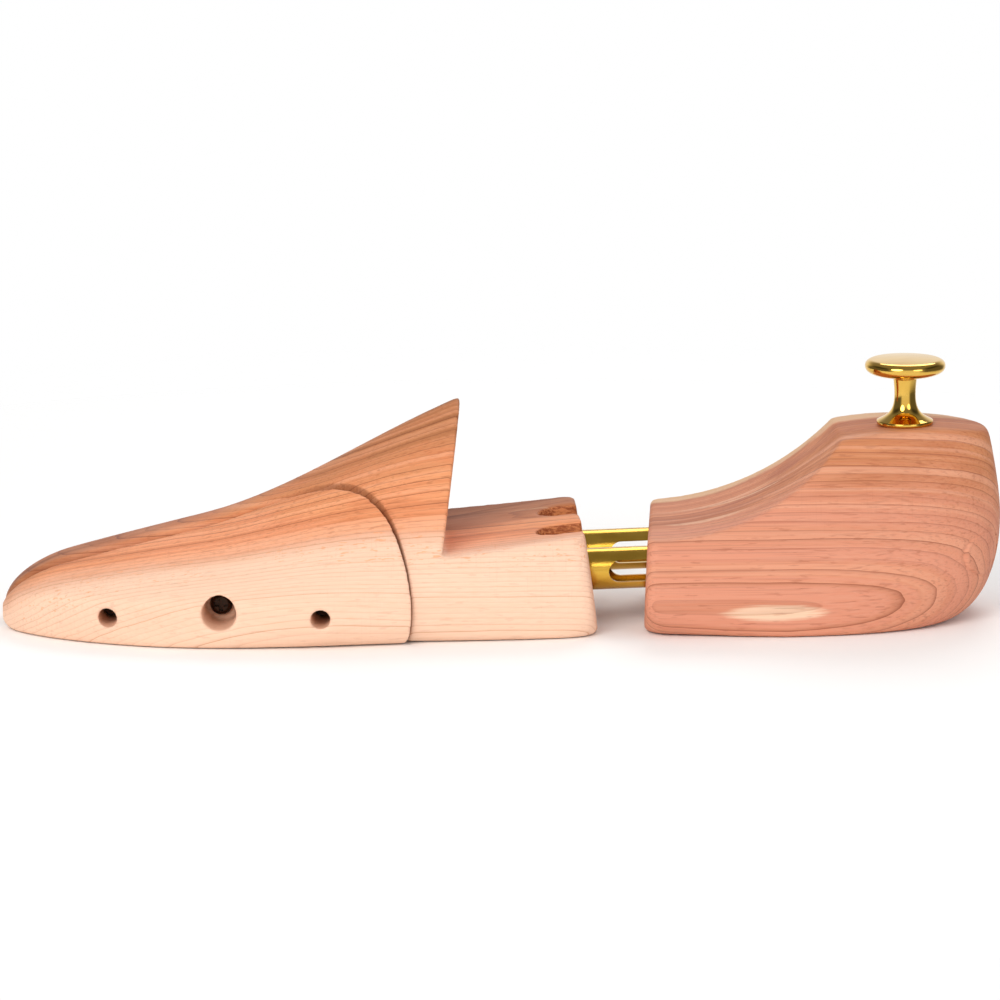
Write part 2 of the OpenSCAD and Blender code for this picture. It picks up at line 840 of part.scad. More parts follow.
// Turned knob: a flared foot, a slim neck and a flat head with a rounded rim
module knob() {
    steps = 7;
    neck = knob_neck / 2;
    rim_up = knob_head * 0.4;
    rim_down = knob_head - rim_up;
    rim_in = 2;
    flare_out = (knob_foot - knob_neck) * 0.34;
    flare_up = 3.4;
    head_z = knob_height - rim_up;
    head_fillet = 0.8;
    color(brass)
        at_knob()
            rotate_extrude()
                difference() {
                    polygon([
                        [0, 0],
                        [knob_foot / 2, 0],
                        [knob_foot / 2, knob_foot_rim],
                        for (i = [0 : steps])
                            let (a = 90 * i / steps)
                            [neck + flare_out * (1 - sin(a)), knob_foot_rim * 1.3 + flare_up * (1 - cos(a))],
                        [neck, head_z - rim_down - head_fillet],
                        for (i = [1 : steps])
                            let (a = 90 * i / steps)
                            [
                                neck + head_fillet + (knob_diameter / 2 - neck - head_fillet) * pow(sin(a), 0.9),
                                head_z - rim_down * pow(cos(a), 0.9),
                            ],
                        for (i = [1 : steps])
                            let (a = 90 * i / steps)
                            [knob_diameter / 2 - rim_in * (1 - cos(a)), head_z + rim_up * 0.94 * sin(a)],
                        [0, knob_height],
                    ]);
                    translate([-overshoot, -overshoot])
                        square([overshoot + stud_diameter / 2 + seat_gap, overshoot + stud_in_knob + seat_gap]);
                }
}

module knob_screw() {
    color(dark_steel)
        at_knob()
            rod(stud_diameter, -stud_depth, stud_in_knob);
}

// Centre line of a wound wire along +Z, with straight ends square to what they meet
spring_rings = 8;
wire_sides = 6;

function coil_line(radius, wire, length, curls) =
    let (run = length - 2 * wire, count = curls * spring_rings)
    concat(
        [[radius, 0, 0]],
        [
            for (i = [0 : count])
                let (a = 360 * i / spring_rings)
                [radius * cos(a), radius * sin(a), wire + run * i / count]
        ],
        [[radius, 0, length]]
    );

function unit(v) = v / norm(v);

function heading(line, i) =
    i == 0 || i == len(line) - 1
    ? [0, 0, 1]
    : unit(unit(line[i + 1] - line[i]) + unit(line[i] - line[i - 1]));

// Ring of points round one point of the line, with its first point facing out from the axis
function wire_ring(line, i, wire) =
    let (
        along = heading(line, i),
        out = unit([line[i][0], line[i][1], 0]),
        across = unit(cross(along, out)),
        outward = cross(across, along)
    )
    [
        for (j = [0 : wire_sides - 1])
            let (a = 360 * j / wire_sides)
            line[i] + wire / 2 * (cos(a) * outward + sin(a) * across)
    ];

module coil(diameter, wire, length, curls) {
    line = coil_line((diameter - wire) / 2, wire, length, curls);
    loft([for (i = [len(line) - 1 : -1 : 0]) wire_ring(line, i, wire)]);
}

// Least gap between a coil's neighbouring turns, measured on its points
function coil_gap(diameter, wire, length, curls) =
    let (
        line = coil_line((diameter - wire) / 2, wire, length, curls),
        n = len(line)
    )
    min([
        for (i = [0 : n - 1], j = [i + spring_rings / 2 : n - 1])
            norm(line[i] - line[j])
    ]) - wire;

wing_gap = kerf + screw_stroke;
wing_spring_length = fore_pocket_depth + wing_gap + wing_pocket_depth;
tube_spring_diameter = bore_diameter - 2 * running_gap - 0.4;

module wing_spring() {
    color(dark_steel)
        at_cut(tie_screw_from_toe, tie_screw_height)
            translate([0, 0, -fore_pocket_depth])
                coil(wing_spring_diameter, wing_spring_wire, wing_spring_length, wing_spring_curls);
}

module tube_spring(side) {
    color(dark_steel)
        at_tubes()
            translate([tube_end, side * tube_spacing / 2, 0])
                rotate([0, 90, 0])
                    coil(tube_spring_diameter, tube_spring_wire, tube_spring_length, tube_spring_curls);
}

module near_tube_spring() {
    tube_spring(-1);
}

module far_tube_spring() {
    tube_spring(1);
}

echo(wing_spring_gap = coil_gap(wing_spring_diameter, wing_spring_wire, wing_spring_length, wing_spring_curls));
echo(tube_spring_gap = coil_gap(tube_spring_diameter, tube_spring_wire, tube_spring_length, tube_spring_curls));

forepart_block();
near_tube();
far_tube();
forepart_cross_pin();
front_guide_pin();
rear_guide_pin();
rear_locating_pin();
tie_screw();
toe_wing();
heel_block();
heel_cross_pin();
knob();
knob_screw();
wing_spring();
near_tube_spring();
far_tube_spring();
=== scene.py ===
import json
import math

import bmesh
import bpy
import numpy as np
from mathutils import Matrix, Vector, kdtree


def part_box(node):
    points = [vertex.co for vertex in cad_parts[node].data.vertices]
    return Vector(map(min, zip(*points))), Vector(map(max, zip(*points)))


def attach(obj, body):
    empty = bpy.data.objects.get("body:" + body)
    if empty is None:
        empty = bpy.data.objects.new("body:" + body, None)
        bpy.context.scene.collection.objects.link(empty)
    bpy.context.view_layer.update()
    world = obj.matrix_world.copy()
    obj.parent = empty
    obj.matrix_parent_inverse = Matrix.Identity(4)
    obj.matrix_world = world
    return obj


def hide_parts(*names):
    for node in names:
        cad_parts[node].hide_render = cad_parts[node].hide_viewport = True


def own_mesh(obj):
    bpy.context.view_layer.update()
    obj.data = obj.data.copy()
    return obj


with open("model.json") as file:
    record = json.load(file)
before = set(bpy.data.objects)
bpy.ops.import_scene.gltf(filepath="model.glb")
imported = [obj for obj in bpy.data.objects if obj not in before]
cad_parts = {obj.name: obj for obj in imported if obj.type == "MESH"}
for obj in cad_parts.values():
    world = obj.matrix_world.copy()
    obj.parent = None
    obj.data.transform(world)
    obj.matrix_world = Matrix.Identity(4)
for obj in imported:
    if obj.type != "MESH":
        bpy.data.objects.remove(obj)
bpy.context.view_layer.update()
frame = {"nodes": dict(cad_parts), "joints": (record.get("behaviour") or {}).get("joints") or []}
cad = frame["nodes"]
hinge = next(joint for joint in frame["joints"] if joint["name"] == "wing_hinge")
slide = next(joint for joint in frame["joints"] if joint["name"] == "heel_slide")
print("frame loaded:", len(cad), "nodes")


class Plug:
    # A node's output that can be used in sums: each operator adds its Math node
    def __init__(self, graph, socket):
        self.graph = graph
        self.socket = socket

    def math(self, operation, *values):
        return self.graph.node("ShaderNodeMath", {"operation": operation}, dict(enumerate(values)))

    def __add__(self, other):
        return self.math("ADD", self, other)

    def __radd__(self, other):
        return self.math("ADD", other, self)

    def __sub__(self, other):
        return self.math("SUBTRACT", self, other)

    def __rsub__(self, other):
        return self.math("SUBTRACT", other, self)

    def __mul__(self, other):
        return self.math("MULTIPLY", self, other)

    def __rmul__(self, other):
        return self.math("MULTIPLY", other, self)

    def __truediv__(self, other):
        return self.math("DIVIDE", self, other)

    def __pow__(self, other):
        return self.math("POWER", self, other)

    def __abs__(self):
        return self.math("ABSOLUTE", self)


class Graph:
    # A node tree, shader or geometry: every node in it comes from node()
    def __init__(self, tree):
        self.tree = tree

    def node(self, kind, settings=None, inputs=None, output=0):
        made = self.tree.nodes.new(kind)
        for key, value in (settings or {}).items():
            setattr(made, key, value)
        for key, value in (inputs or {}).items():
            if isinstance(value, Plug):
                self.tree.links.new(value.socket, made.inputs[key])
            elif value is not None:
                made.inputs[key].default_value = value
        return Plug(self, made.outputs[output]) if len(made.outputs) else made

    def step(self, value, low, high):
        return self.node("ShaderNodeMapRange", {"interpolation_type": "SMOOTHSTEP"},
                         {0: value, 1: low, 2: high, 3: 0.0, 4: 1.0})

    def mix(self, share, first, second, blend="MIX"):
        return self.node("ShaderNodeMix", {"data_type": "RGBA", "blend_type": blend},
                         {0: share, 6: first, 7: second}, 2)

    def noise(self, place, stretch, detail=2.0, roughness=0.5, warp=0.0):
        # stretch: how many millimetres one wave takes along X, Y and Z
        scaled = self.node("ShaderNodeMapping", None,
                           {"Vector": place, "Scale": [1000.0 / s for s in stretch]})
        return self.node("ShaderNodeTexNoise", None,
                         {"Vector": scaled, "Scale": 1.0, "Detail": detail, "Roughness": roughness,
                          "Distortion": warp})


def tint(code):
    # "e2986c", as a paint shop writes a colour, in the linear values that Blender wants
    parts = [int(code[i:i + 2], 16) / 255 for i in (0, 2, 4)]
    return [p / 12.92 if p <= 0.04045 else ((p + 0.055) / 1.055) ** 2.4 for p in parts] + [1.0]


def newFinish(name):
    material = bpy.data.materials.new(name)
    material.use_nodes = True
    material.node_tree.nodes.clear()
    graph = Graph(material.node_tree)
    place = graph.node("ShaderNodeTexCoord", None, None, "Object")
    return material, graph, place


def closeFinish(graph, inputs):
    surface = graph.node("ShaderNodeBsdfPrincipled", None, inputs)
    graph.node("ShaderNodeOutputMaterial", None, {"Surface": surface})


# The wood: growth rings round a pith line that runs nearly along the block

foreWood = {
    "pith": (15.0, 68.0),        # Y and Z of the tree's middle at X = 0, in millimetres
    "pithSlope": (0.0, 0.055),
    "ringWidth": 3.9,            # near the pith
    "ringShrink": 38.0,          # how far out the rings are half as wide
    "bandWidth": 5.0,            # good and bad years take about this much wood
    "wander": (2.0, 0.45),
    "heart": "eda272",
    "heartDeep": "df8f62",
    "blush": "f2a57e",
    "bandLight": "f3b08a",
    "bandDark": "d28358",
    "core": "ae734b",            # brown zone round the pith
    "coreReach": (18.0, 42.0),
    "streak": "6e3f26",
    "streakPlace": (-1.0, 22.0),  # streaks grow from here to there along Y
    "streakShare": (0.5, 0.26),  # everywhere in that zone, and more in the streaks
    "streakLean": 0.9,            # and lie this much farther out for each millimetre above 30
    "sap": "f3cfb6",
    "bloom": "e6c09c",
    "sapFrom": (51.0, 62.0),
    "line": "7c3f25",
    "pore": "9a5733",
    "sapLine": "bf7f52",
    "lineShare": 0.95,
    "flecks": 0.6,
    "patches": [                 # middle, half sizes, drift along X, strength
        ((-98, 31.5, 24), (17, 2.2, 9), 0.1, 0.3),
        ((7, 20, 31), (13, 1.4, 6), -0.06, 0.4),
    ],
    "seed": 3.0,
}

heelWood = {
    "pith": (-42.0, 9.0),
    "pithSlope": (0.0, 0.0),
    "ringWidth": 3.6,
    "ringShrink": 60.0,
    "bandWidth": 5.0,
    "wander": (1.3, 0.4),
    "heart": "d38f63",
    "heartDeep": "c17c53",
    "blush": "e09a79",
    "bandLight": "eeb497",
    "bandDark": "c47d5e",
    "core": "da967b",
    "coreReach": (22.0, 50.0),
    "streak": "a8654c",
    "streakPlace": (-30.0, 0.0),
    "streakShare": (0.1, 0.5),
    "streakLean": 0.0,
    "sap": "dcb894",
    "bloom": "f0cfb2",
    "sapFrom": (65.0, 69.0),
    "line": "84452f",
    "pore": "97543a",
    "sapLine": "b97f5c",
    "lineShare": 0.8,
    "flecks": 0.0,
    "patches": [
        ((77, -35, 7.4), (16, 7, 2.6), 0.0, 0.9),
        ((66, 5.5, 33), (19, 0.8, 16), -0.08, 0.35),
        ((70, 1.5, 36), (14, 0.9, 16), -0.3, 0.45),
        ((58, -12.5, 30), (14, 1.8, 9), -0.12, 0.4),
    ],
    "seed": 11.0,
}


woodMarks = {"grain": "a8683f", "sawn": "7a4229", "burnt": "7b4526",
             "tornDeep": "8c4424", "torn": "cf8352"}


def woodFinish(name, wood, burnt=None, notches=()):
    material, graph, place = newFinish(name)
    shifted = graph.node("ShaderNodeVectorMath", {"operation": "ADD"},
                         {0: place, 1: (wood["seed"], 0.37 * wood["seed"], -0.21 * wood["seed"])})
    x, y, z = (graph.node("ShaderNodeSeparateXYZ", None, {"Vector": place}, axis) * 1000.0
               for axis in "XYZ")

    wide = graph.noise(shifted, (170, 30, 30), 1.0)
    fine = graph.noise(shifted, (60, 8, 8), 2.0, 0.55)
    wander = (wide - 0.5) * (2 * wood["wander"][0]) + (fine - 0.5) * (2 * wood["wander"][1])
    out = y - (x * wood["pithSlope"][0] + wood["pith"][0])
    up = z - (x * wood["pithSlope"][1] + wood["pith"][1])
    reach = (out * out + up * up) ** 0.5 + wander

    crowding = reach / (2 * wood["ringShrink"]) + 1.0
    rings = (reach / wood["ringWidth"]) * crowding + (fine - 0.5) * 0.25
    ring = rings.math("FRACT", rings)
    each = rings.math("FLOOR", rings)
    strength = graph.node("ShaderNodeTexWhiteNoise", {"noise_dimensions": "1D"}, {"W": each})
    late = (ring ** 10.0) * (1.0 - graph.step(ring, 0.985, 1.0)) * (strength * strength + 0.25)

    fibre = graph.noise(shifted, (22, 0.42, 0.42), 3.0, 0.6)
    flow = graph.noise(shifted, (110, 9, 9), 3.0, 0.55)
    patch = graph.noise(shifted, (60, 22, 22), 2.0)

    colour = graph.mix(graph.step(flow, 0.36, 0.66), tint(wood["heart"]), tint(wood["heartDeep"]))
    colour = graph.mix(graph.step(patch, 0.45, 0.7) * 0.7, colour, tint(wood["blush"]))
    bands = graph.node("ShaderNodeTexNoise", {"noise_dimensions": "1D"}, {
        "W": reach / wood["bandWidth"] + wood["seed"],
        "Scale": 1.0, "Detail": 2.0, "Roughness": 0.6})
    colour = graph.mix((1.0 - graph.step(bands, 0.36, 0.5)) * 0.55, colour, tint(wood["bandDark"]))
    colour = graph.mix(graph.step(bands, 0.5, 0.62) * 0.5, colour, tint(wood["bandLight"]))
    core = 1.0 - graph.step(reach + (flow - 0.5) * 22.0, *wood["coreReach"])
    core = core * (1.1 - graph.step(bands, 0.4, 0.62) * 0.45)
    colour = graph.mix(core * 0.9, colour, tint(wood["core"]))
    streaks = graph.step(graph.noise(shifted, (260, 6, 11), 1.5, 0.5), 0.4, 0.68)
    side = graph.step(y - (z - 30.0) * wood["streakLean"], *wood["streakPlace"])
    pale = graph.step(reach + (flow - 0.5) * 9.0 + (fibre - 0.5) * 5.0, *wood["sapFrom"])
    even, more = wood["streakShare"]
    colour = graph.mix((streaks * more + even) * side * (1.0 - pale), colour, tint(wood["streak"]))
    for middle, half, drift, share in wood["patches"]:
        dx, dy, dz = x - middle[0], y - middle[1], z - middle[2]
        dy = dy - dx * drift
        dx, dy, dz = dx / half[0], dy / half[1], dz / half[2]
        off = dx * dx + dy * dy + dz * dz + (fibre - 0.5) * 1.1 + (flow - 0.5) * 1.2
        blot = 1.0 - graph.step(off, 0.35, 1.15)
        colour = graph.mix(blot * share, colour, tint(wood["bloom"]))
    colour = graph.mix(pale * (0.93 - (flow - 0.5) * 0.3), colour, tint(wood["sap"]))
    if wood["flecks"]:
        spots = graph.step(graph.noise(shifted, (3.2, 0.7, 0.7), 2.0, 0.6), 0.58, 0.68)
        rim = graph.step(reach, wood["sapFrom"][0] - 2, wood["sapFrom"][0] + 6)
        rim = rim * (1.0 - graph.step(reach, wood["sapFrom"][1] + 1, wood["sapFrom"][1] + 7))
        flecks = spots * rim * graph.step(patch, 0.42, 0.6) * wood["flecks"]
        colour = graph.mix(flecks, colour, tint(wood["heart"]))

    shade = late * wood["lineShare"] * (1.0 - pale * 0.2) + ring * ring * 0.07
    colour = graph.mix(shade, colour, graph.mix(pale, tint(wood["line"]), tint(wood["sapLine"])))
    threads = graph.step(graph.noise(shifted, (70, 0.55, 0.55), 2.0, 0.5), 0.5, 0.72)
    colour = graph.mix(threads * (1.0 - pale * 0.85) * 0.2, colour, tint(wood["line"]))
    grain = tint(woodMarks["grain"])
    colour = graph.mix(graph.step(fibre, 0.3, 0.75) * 0.2, colour, grain, "SOFT_LIGHT")
    pores = graph.step(graph.noise(shifted, (7, 0.85, 0.85), 2.0, 0.55), 0.6, 0.7)
    colour = graph.mix(pores * (0.3 - pale * 0.17), colour, tint(wood["pore"]))
    saw = graph.noise(shifted, (0.45, 9, 9), 3.0, 0.6)
    sawn = graph.step(saw, 0.52, 0.75) * graph.step(patch, 0.4, 0.65)
    colour = graph.mix(sawn * 0.07, colour, tint(woodMarks["sawn"]))

    if burnt:                    # brown where the blade rubbed through the bend of its cut
        dx = x - burnt["centre"][0]
        dy = y - burnt["centre"][1]
        off = abs((dx * dx + dy * dy) ** 0.5 - burnt["radius"])
        rub = (1.0 - graph.step(off, 0.12, 0.5)) * graph.step(dx, *burnt["from"])
        colour = graph.mix(rub * (0.5 + (saw - 0.5) * 0.5), colour, tint(woodMarks["burnt"]))
    rough = 0.0
    for line in notches:         # torn brown wood inside the two notches
        dx = x - line["start"][0]
        dy = y - line["start"][1]
        along = dx * line["way"][0] + dy * line["way"][1]
        across = dy * line["way"][0] - dx * line["way"][1]
        inside = 1.0 - graph.step(abs(across), line["half"], line["half"] + 0.45)
        inside = inside * graph.step(along, line["from"], line["from"] + 0.6)
        top = x * line["top"][1] + y * line["top"][2] + line["top"][0]
        inside = inside * graph.step(top - z + (fibre - 0.5) * 0.6, 0.2, 0.7)
        torn = graph.noise(shifted, (3.0, 0.7, 0.9), 4.0, 0.75)
        ragged = graph.mix(graph.step(torn, 0.4, 0.62),
                           tint(woodMarks["tornDeep"]), tint(woodMarks["torn"]))
        colour = graph.mix(inside * 0.92, colour, ragged)
        rough = rough + inside * torn

    fuzz = graph.noise(shifted, (1.4, 0.5, 0.5), 2.0)
    height = fibre * 0.5 - pores * 0.5 + late * 0.6 + fuzz * 0.35 + saw * 0.25 + rough * 2.5
    bump = graph.node("ShaderNodeBump", None,
                      {"Strength": 0.32, "Distance": 0.00012, "Height": height})
    closeFinish(graph, {
        "Base Color": colour,
        "Roughness": 0.6 + (fibre - 0.5) * 0.2 - late * 0.08,
        "Normal": bump,
        "IOR": 1.45,
        "Specular IOR Level": 0.22,
    })
    return material


brassTube = {"face": "dcae48", "shade": "cda03c", "rough": (0.14, 0.26), "pits": 0.35}
brassKnob = {"face": "e3b757", "shade": "dcae4c", "rough": (0.04, 0.08), "pits": 0.0}


def brassFinish(name, brass):
    material, graph, place = newFinish(name)
    drawn = graph.noise(place, (40, 0.9, 0.9), 3.0, 0.6)      # lines left by the drawing die
    cloud = graph.noise(place, (9, 5, 5), 2.0)
    specks = graph.step(graph.noise(place, (1.1, 0.5, 0.5), 2.0, 0.6), 0.66, 0.74) * brass["pits"]
    colour = graph.mix(graph.step(cloud, 0.35, 0.7), tint(brass["face"]), tint(brass["shade"]))
    colour = graph.mix(specks * 0.5, colour, tint("6d5320"))
    low, high = brass["rough"]
    bump = graph.node("ShaderNodeBump", None,
                      {"Strength": 0.12, "Distance": 0.00005, "Height": drawn + specks * 0.6})
    closeFinish(graph, {
        "Base Color": colour,
        "Metallic": 1.0,
        "Roughness": low + graph.step(drawn, 0.3, 0.75) * (high - low) + specks * 0.15,
        "Normal": bump,
    })
    return material


pinSteel = {"face": "37281f", "rust": "5b3a24", "rough": 0.38}
springSteel = {"face": "211f1e", "rust": "2f2723", "rough": 0.3}


def steelFinish(name, steel):
    material, graph, place = newFinish(name)
    cloud = graph.noise(place, (3, 3, 3), 3.0, 0.6)
    grain = graph.noise(place, (0.5, 2.5, 0.5), 2.0)
    colour = graph.mix(graph.step(cloud, 0.5, 0.75) * 0.7, tint(steel["face"]), tint(steel["rust"]))
    bump = graph.node("ShaderNodeBump", None,
                      {"Strength": 0.15, "Distance": 0.00004, "Height": grain})
    closeFinish(graph, {
        "Base Color": colour,
        "Metallic": 0.85,
        "Roughness": steel["rough"] + (cloud - 0.5) * 0.3,
        "Normal": bump,
    })
    return material


sanding = {
    "sharp": 24,                 # degrees from which an edge counts as sharp
    "spacing": 0.0006,           # between the points that mark a sharp edge
    "spare": 0.0016,             # strip along a sharp edge that isn't sanded
    "blend": 0.004,
    "steps": (0.5, -0.52),       # out and back
    "holeBand": 0.0007,
}


def axisOf(node):
    # Middle and direction of a round rod, in metres, read from its CAD node
    co = np.array([v.co for v in cad[node].data.vertices])
    low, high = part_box(node)
    return np.array((low + high) / 2), np.linalg.svd(co - co.mean(0), full_matrices=False)[2][0]


def turned(point, way, angle):
    # The same line after the wing has turned about its hinge
    centre = np.array(hinge["pos_m"])
    c, s = math.cos(angle), math.sin(angle)
    spin = np.array([[c, -s, 0], [s, c, 0], [0, 0, 1]])
    return centre + spin @ (point - centre), spin @ way


def roundHole(co, point, way, radius):
    # Pulls the surface that lies near a round hole's wall onto that wall
    rel = co - point
    side = rel - (rel @ way)[:, None] * way
    gap = np.linalg.norm(side, axis=1)
    hit = abs(gap - radius) < sanding["holeBand"]
    co[hit] += side[hit] / gap[hit][:, None] * (radius - gap[hit])[:, None]


def relax(co, ends, weights, steps, rounds):
    # Moves each point toward the mean of its neighbours: out and back steps keep the volume
    a, b = ends.T
    both = np.r_[a, b]
    share = np.bincount(both, minlength=len(co))[:, None]
    for _ in range(rounds):
        for step in steps:
            total = [np.bincount(both, np.r_[co[b, k], co[a, k]], len(co)) for k in range(3)]
            co += step * weights[:, None] * (np.stack(total, 1) / share - co)


def carve(node, piece, holes=()):
    # A finely meshed copy of a CAD block, sanded: smooth faces and softly rounded edges
    bm = bmesh.new()
    bm.from_mesh(cad[node].data)
    bmesh.ops.remove_doubles(bm, verts=bm.verts, dist=2e-6)
    sharp = []
    for edge in bm.edges:
        if len(edge.link_faces) == 2 and edge.calc_face_angle(0.0) > math.radians(sanding["sharp"]):
            p, q = (v.co for v in edge.verts)
            count = max(1, int((q - p).length / sanding["spacing"]))
            sharp += [p.lerp(q, i / count) for i in range(count + 1)]
    mesh = bpy.data.meshes.new(piece["name"])
    bm.to_mesh(mesh)
    bm.free()
    body = bpy.data.objects.new(piece["name"] + "_raw", mesh)
    bpy.context.scene.collection.objects.link(body)
    remesh = body.modifiers.new("grain", "REMESH")
    remesh.mode = "VOXEL"
    remesh.voxel_size = piece["voxel"]
    bpy.context.view_layer.update()
    solved = body.evaluated_get(bpy.context.evaluated_depsgraph_get())
    fine = bpy.data.meshes.new_from_object(solved)
    bpy.data.objects.remove(body)

    tree = kdtree.KDTree(len(sharp))
    for i, point in enumerate(sharp):
        tree.insert(point, i)
    tree.balance()
    co = np.array([v.co for v in fine.vertices])
    ends = np.array([e.vertices[:] for e in fine.edges])
    near = np.array([tree.find(v.co)[2] for v in fine.vertices])
    broad = np.clip((near - sanding["spare"]) / sanding["blend"], 0, 1)
    relax(co, ends, broad * broad * (3 - 2 * broad), sanding["steps"], piece["sanding"])
    relax(co, ends, np.ones(len(co)), (0.5,), piece["rounding"])
    for hole in holes:
        roundHole(co, *hole)
    co[:, 2] = np.maximum(co[:, 2], 0.0)
    fine.vertices.foreach_set("co", co.ravel())
    fine.polygons.foreach_set("use_smooth", [True] * len(fine.polygons))
    fine.update()
    fine.materials.clear()
    fine.materials.append(piece["finish"])
    made = bpy.data.objects.new(piece["name"], fine)
    bpy.context.scene.collection.objects.link(made)
    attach(made, piece["body"])
    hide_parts(node)
    print(piece["name"], len(fine.polygons), "faces")
    return made


def geometryTree(name, sizes):
    # An empty Geometry Nodes tree with named sizes; sizes maps a name to a socket type
    tree = bpy.data.node_groups.new(name, "GeometryNodeTree")
    tree.interface.new_socket("Geometry", in_out="INPUT", socket_type="NodeSocketGeometry")
    tree.interface.new_socket("Geometry", in_out="OUTPUT", socket_type="NodeSocketGeometry")
    for label, kind in sizes.items():
        tree.interface.new_socket(label, in_out="INPUT", socket_type="NodeSocket" + kind)
    graph = Graph(tree)
    source = tree.nodes.new("NodeGroupInput")
    given = {socket.name: Plug(graph, socket) for socket in source.outputs if socket.name}
    return graph, given


def closeTree(graph, geometry, finish):
    whole = graph.node("GeometryNodeRealizeInstances", None, {"Geometry": geometry})
    painted = graph.node("GeometryNodeSetMaterial", None, {"Geometry": whole, "Material": finish})
    graph.node("NodeGroupOutput", None, {"Geometry": painted})


def grow(name, graph, values, source=None, place=Matrix.Identity(4)):
    # Runs a tree on an object and keeps the result as a plain mesh at its place
    start = bpy.data.objects.new(name + "_seed", source or bpy.data.meshes.new(name + "_seed"))
    bpy.context.scene.collection.objects.link(start)
    modifier = start.modifiers.new("build", "NODES")
    modifier.node_group = graph.tree
    for item in graph.tree.interface.items_tree:
        if item.in_out == "INPUT" and item.name in values:
            modifier[item.identifier] = values[item.name]
    bpy.context.view_layer.update()
    solved = start.evaluated_get(bpy.context.evaluated_depsgraph_get())
    mesh = bpy.data.meshes.new_from_object(solved)
    bpy.data.objects.remove(start)
    bm = bmesh.new()
    bm.from_mesh(mesh)
    bmesh.ops.remove_doubles(bm, verts=bm.verts, dist=1e-6)
    bmesh.ops.recalc_face_normals(bm, faces=bm.faces)
    for face in bm.faces:
        face.smooth = True
    bm.to_mesh(mesh)
    bm.free()
    mesh.transform(place)
    made = bpy.data.objects.new(name, mesh)
    bpy.context.scene.collection.objects.link(made)
    print(name, len(mesh.polygons), "faces")
    return made


def alongAxis(point, way):
    # Matrix that stands Z on a line, with its foot at the point
    turn = Vector((0, 0, 1)).rotation_difference(Vector(way)).to_matrix().to_4x4()
    return Matrix.Translation(Vector(point)) @ turn


tubeNear, tubeWay = axisOf("near_tube")
tubeFar = axisOf("far_tube")[0]
tubeWay = tubeWay * np.sign(tubeWay[0])
rearFace = 0.0264                # X of the stub's rear face where the tubes leave it
stubPatch = {"length": 0.017, "floor": 0.026, "half": 0.022}      # holds only the stub's top
notch = {"half": 7.1, "from": -18.0}
cut = {"centre": (-0.0794, -0.053), "blockRadius": 55.0, "wingRadius": 54.2,
       "burntFrom": (14.0, 34.0)}
planWay = tubeWay[:2] / np.linalg.norm(tubeWay[:2])
stub = np.array([v.co for v in cad["forepart_block"].data.vertices])
stub = stub[(stub[:, 0] > rearFace - stubPatch["length"]) & (stub[:, 2] > stubPatch["floor"])
            & (abs(stub[:, 1]) < stubPatch["half"])] * 1000
flat = np.c_[np.ones(len(stub)), stub[:, :2]]
stubTop, left = np.linalg.lstsq(flat, stub[:, 2], rcond=None)[:2]
print("stub top found on", len(stub), "points, within", float(np.sqrt(left.max() / len(stub))), "mm")
notchLines = []
for middle in (tubeNear, tubeFar):
    leave = middle + tubeWay * (rearFace - middle[0]) / tubeWay[0]
    notchLines.append({"start": [leave[0] * 1000, leave[1] * 1000], "way": list(planWay),
                       "top": [float(t) for t in stubTop], **notch})

cutCentre = np.array(cut["centre"])
openAngle = math.radians(abs(hinge["range_deg"][0]))
wingCentre = turned(np.array([*cutCentre, 0.0]), np.zeros(3), openAngle)[0]
blockArc = {"centre": cutCentre * 1000, "radius": cut["blockRadius"], "from": cut["burntFrom"]}
wingArc = {"centre": wingCentre[:2] * 1000, "radius": cut["wingRadius"], "from": cut["burntFrom"]}
foreFinish = woodFinish("forepartCedar", foreWood, blockArc, notchLines)
wingFinish = woodFinish("wingCedar", foreWood, wingArc)
heelFinish = woodFinish("heelCedar", heelWood)
tubeFinish = brassFinish("drawnBrass", brassTube)
knobFinish = brassFinish("polishedBrass", brassKnob)
pinFinish = steelFinish("darkSteelPins", pinSteel)
springFinish = steelFinish("darkSteelSprings", springSteel)
print("finishes made")

for node, finish in {
    "near_tube": tubeFinish, "far_tube": tubeFinish, "forepart_cross_pin": tubeFinish,
    "heel_cross_pin": tubeFinish, "front_guide_pin": pinFinish, "rear_guide_pin": pinFinish,
    "rear_locating_pin": pinFinish, "tie_screw": pinFinish, "knob_screw": pinFinish,
}.items():
    if cad[node].material_slots:
        cad[node].material_slots[0].material = finish
    else:
        cad[node].data.materials.append(finish)

foreBlock = {"name": "forepart_cedar", "body": "forepart", "slot": "forepart_wood",
             "voxel": 0.00062, "sanding": 36, "rounding": 8, "finish": foreFinish}
wingBlock = {"name": "toe_wing_cedar", "body": "wing", "slot": "forepart_wood",
             "voxel": 0.00045, "sanding": 50, "rounding": 12, "finish": wingFinish}
heelBlock = {"name": "heel_cedar", "body": "heel", "slot": "heel_wood",
             "voxel": 0.0006, "sanding": 36, "rounding": 9, "finish": heelFinish}

holeRadius = {"guide": 0.0028, "tube": 0.0062}
carve("forepart_block", foreBlock)
carve("toe_wing", wingBlock, [
    (*turned(*axisOf(node), openAngle / 2), holeRadius["guide"])
    for node in ("front_guide_pin", "rear_guide_pin")])
carve("heel_block", heelBlock, [
    (middle, tubeWay, holeRadius["tube"]) for middle in (tubeNear, tubeFar)])
print("wood carved")

# One tree winds all three springs

